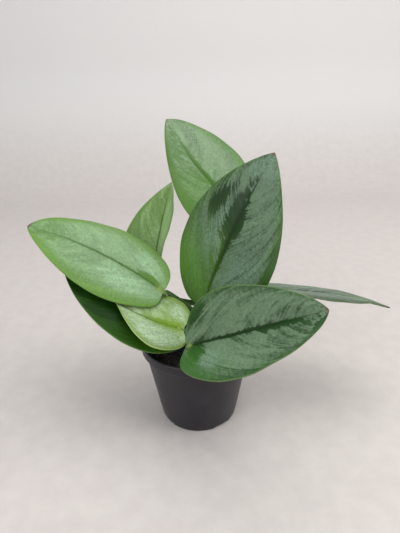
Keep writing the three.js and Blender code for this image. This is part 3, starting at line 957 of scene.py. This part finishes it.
        # Painted highlights: the silver is made lighter and bluer inside the pale spots.
        brighter = tuple(part * gain for part, gain in zip(look["silver"], PAINTED_HIGHLIGHT_GAIN))
        silver = self.mix(painted_highlight, silver, brighter)
        clouds = self.add(self.times(self.lines, 0.12), self.times(self.patch, 0.22))
        clouds = self.add(clouds, self.ease(self.mottle, 0.3, 0.7, 0.86, 1.14))
        body = self.mix(cover, ground, self.shade(silver, clouds))
        crease = self.times(self.ease(self.out, 0.05, 0.01), self.ease(self.share, 0.98, 0.6))
        body = self.mix(self.times(crease, 0.7), body, self.shade(ground, 0.6))
        knob = self.times(self.ease(self.out, 0.26, 0.04), self.ease(self.share, 0.08, 0.02))
        return self.mix(self.times(knob, 0.9), body, BASE_KNOB)

    def lower_face(self):
        midrib = self.ease(self.out, 0.10, 0.02)
        ribs = self.ease(self.lines, -0.5, 0.5, 0.85, 1.1)
        return self.shade(self.mix(midrib, UNDERSIDE, UNDER_MIDRIB), ribs)


def leaf_material(name, leaf, look):
    """A thick leaf: silver bloom in streaks above, plain underneath, with a pale edge and a dry tip."""
    paint = LeafPaint(name, leaf, look)
    margin = paint.near_margin()
    # The pale spots are painted highlights, which lighten the silver and raise the bloom.
    painted_highlight = paint.painted_highlight()
    cover = paint.bloom(margin, painted_highlight)
    under = paint.stored("under")
    fine = paint.noise(paint.place(), 900, detail=2)
    body = paint.mix(under, paint.upper_face(cover, margin, painted_highlight), paint.lower_face())
    edge_width = 1.5 / (8 + 0.45 * leaf["width"])
    edge = paint.ease(paint.out, 1 - edge_width, 0.999)
    body = paint.mix(paint.times(edge, 0.85), body, look["edge"])
    body = paint.mix(paint.ease(paint.share, look["browned"], 0.995), body, TIP_BROWN)
    paint.colour(paint.shade(body, paint.ease(fine, 0.25, 0.75, 0.88, 1.10)))
    gloss = paint.add(paint.ease(cover, 0, 1, 0.30, 0.42), paint.times(under, 0.15))
    paint.roughness(paint.add(gloss, paint.times(fine, 0.08)))
    paint.bump(paint.add(paint.times(paint.lines, 0.35), paint.times(fine, 0.4)), 0.35, 0.0004)
    return paint.material


def stalk_material():
    """Smooth green stalks: paler and yellower where they meet a blade, with faint lengthwise streaks."""
    paint = Paint("stalk_surface", IOR=1.42, Subsurface_Weight=0.1, Subsurface_Scale=0.002)
    place = paint.place()
    streak = paint.noise(paint.stretched(place, (500, 500, 60)), 1)
    blotch = paint.noise(place, 90)
    body = paint.mix(paint.ease(streak, 0.3, 0.7), STALK["dark"], STALK["light"])
    body = paint.mix(paint.ease(paint.stored("along"), 0.72, 0.95), body, STALK["top"])
    body = paint.mix(paint.ease(blotch, 0.6, 0.8, 0, 0.4), body, STALK_BLOTCH)
    paint.colour(body)
    paint.roughness(paint.ease(streak, 0.2, 0.8, 0.34, 0.5))
    paint.bump(streak, 0.3, 0.0003)
    return paint.material


def stem_material():
    """Olive stems with brown blotches."""
    paint = Paint("stem_surface", IOR=1.42)
    place = paint.place()
    blotch = paint.noise(place, 160, detail=4)
    fine = paint.noise(place, 1400)
    body = paint.mix(paint.ease(blotch, 0.35, 0.65), STEM["green"], STEM["brown"])
    paint.colour(paint.shade(body, paint.ease(fine, 0.3, 0.7, 0.8, 1.15)))
    paint.roughness(paint.ease(fine, 0.2, 0.8, 0.5, 0.75))
    paint.bump(fine, 0.4, 0.0003)
    return paint.material


def root_material():
    paint = Paint("root_surface", IOR=1.42)
    blotch = paint.noise(paint.place(), 260, detail=4)
    paint.colour(paint.mix(paint.ease(blotch, 0.35, 0.7), ROOT["pale"], ROOT["brown"]))
    paint.roughness(paint.ease(blotch, 0.2, 0.8, 0.6, 0.85))
    paint.bump(blotch, 0.5, 0.0004)
    return paint.material


def pot_material():
    """Black moulded plastic, lightly scuffed round its body, with a little dried mix in the grain."""
    paint = Paint("pot_surface", IOR=1.46)
    place = paint.place()
    fine = paint.noise(place, 1500, detail=2)
    cloud = paint.noise(place, 38, detail=5, roughness=0.6)
    scuff = paint.noise(paint.stretched(place, (60, 60, 900)), 1, detail=4)
    body = paint.mix(paint.ease(cloud, 0.35, 0.7), PLASTIC["dark"], PLASTIC["light"])
    dust = paint.times(paint.ease(cloud, 0.52, 0.78), paint.ease(fine, 0.45, 0.7))
    paint.colour(paint.mix(paint.times(dust, 0.22), body, PLASTIC["dust"]))
    paint.roughness(paint.add(paint.ease(cloud, 0.3, 0.7, 0.26, 0.38), paint.times(scuff, 0.1)))
    paint.bump(paint.add(paint.times(fine, 0.5), paint.times(scuff, 0.5)), 0.22, 0.0002)
    return paint.material


def mix_material(name, loose):
    """Dark, damp peat with bark. Loose crumbs carry a shade of their own."""
    paint = Paint(name, IOR=1.4)
    place = paint.place()
    grain = paint.noise(place, 700, detail=5, roughness=0.7)
    clods = paint.noise(place, 170, detail=3)
    body = paint.mix(paint.ease(grain, 0.3, 0.7), PEAT["dark"], PEAT["light"])
    if loose:
        body = paint.mix(paint.ease(paint.stored("shade"), 0.3, 1, 0, 0.8), body, PEAT["bark"])
    paint.colour(paint.shade(body, paint.ease(clods, 0.3, 0.7, 0.6, 1.3)))
    paint.roughness(paint.ease(grain, 0.2, 0.8, 0.7, 0.95))
    paint.bump(paint.add(grain, clods), 0.8, 0.0012)
    return paint.material


# ---- Stage, lights and camera ----

def make_stage():
    """A plain pale floor that curves up into a pale wall behind."""
    bend = [[STAGE_BACK + STAGE_BEND * math.sin(a), STAGE_BEND * (1 - math.cos(a))]
            for a in np.linspace(0, math.pi / 2, 16)]
    wall = STAGE_BACK + STAGE_BEND
    profile = [[STAGE_FRONT, 0], [-1, 0], [0, 0]] + bend + [[wall, 1.2], [wall, STAGE_TOP]]
    across = np.linspace(-STAGE_HALF_WIDTH, STAGE_HALF_WIDTH, 7)
    vertices = [(x, y, z) for y, z in profile for x in across]
    n = len(across)
    faces = [(i * n + j, i * n + j + 1, (i + 1) * n + j + 1, (i + 1) * n + j)
             for i in range(len(profile) - 1) for j in range(n - 1)]
    mesh = bpy.data.meshes.new("backdrop")
    mesh.from_pydata(vertices, [], faces)
    mesh.shade_smooth()
    mesh.materials.append(stage_material())
    in_scene("backdrop", mesh)


def stage_material():
    paint = Paint("backdrop_surface")
    place = paint.place()
    grain = paint.noise(place, 60.0, detail=4.0, roughness=0.6)
    floor = paint.mix(paint.ease(grain, 0.3, 0.7), BACKDROP["dark"], BACKDROP["light"])
    height = paint.parts(place)[2]
    paint.colour(paint.mix(paint.ease(height, 0.0, 0.3), floor, BACKDROP["wall"]))
    paint.roughness(paint.ease(grain, 0.3, 0.7, 0.6, 0.75))
    return paint.material


def aimed(place, target, roll=0.0):
    """A matrix that stands at place and looks at target."""
    ahead = unit(np.array(target, float) - np.array(place, float))
    right = unit(np.cross(ahead, [0, 0, 1]))
    up = np.cross(right, ahead)
    c, s = math.cos(roll), math.sin(roll)
    right, up = c * right + s * up, c * up - s * right
    rows = np.eye(4)
    rows[:3, 0], rows[:3, 1], rows[:3, 2], rows[:3, 3] = right, up, -ahead, place
    return Matrix(rows.tolist())


def add_light(name, place, size, watts, tint):
    light = bpy.data.lights.new(name, "AREA")
    light.shape = "DISK"
    light.size = size
    light.energy = watts
    light.color = tint
    in_scene(name, light).matrix_world = aimed(place, LIGHTS_AIM)


def light_stage():
    for name, light in LIGHTS.items():
        add_light(name, **light)
    world = bpy.data.worlds.new("studio")
    bpy.context.scene.world = world
    world.use_nodes = True
    sky = world.node_tree.nodes["Background"]
    sky.inputs["Color"].default_value = (*SKY["tint"], 1)
    sky.inputs["Strength"].default_value = SKY["strength"]
    bpy.context.scene.view_settings.view_transform = "Standard"


def add_camera():
    data = bpy.data.cameras.new("camera")
    data.lens = CAMERA_LENS
    data.sensor_width = CAMERA_SENSOR
    camera = in_scene("camera", data)
    pitch = math.radians(CAMERA_PITCH)
    target = np.array(CAMERA_PLACE) + [0, math.cos(pitch), -math.sin(pitch)]
    camera.matrix_world = aimed(CAMERA_PLACE, target, math.radians(CAMERA_ROLL))
    bpy.context.scene.camera = camera


# ---- The plant in its pot ----

add_camera()
light_stage()
make_stage()

stalk_surface = stalk_material()
stem_surface = stem_material()
root_surface = root_material()

make_pot(pot_material())
make_mix(mix_material("mix_surface", False))
make_crumbs(mix_material("crumb_surface", True))
for stem_name in STEM_LINES:
    make_stem(stem_name, stem_surface, root_surface)
    frame["nodes"]["roots_" + stem_name].material_slots[0].material = root_surface
for leaf_name, leaf_row in LEAVES.items():
    make_petiole(leaf_name, leaf_row, stalk_surface)
    make_blade(leaf_name, leaf_row)
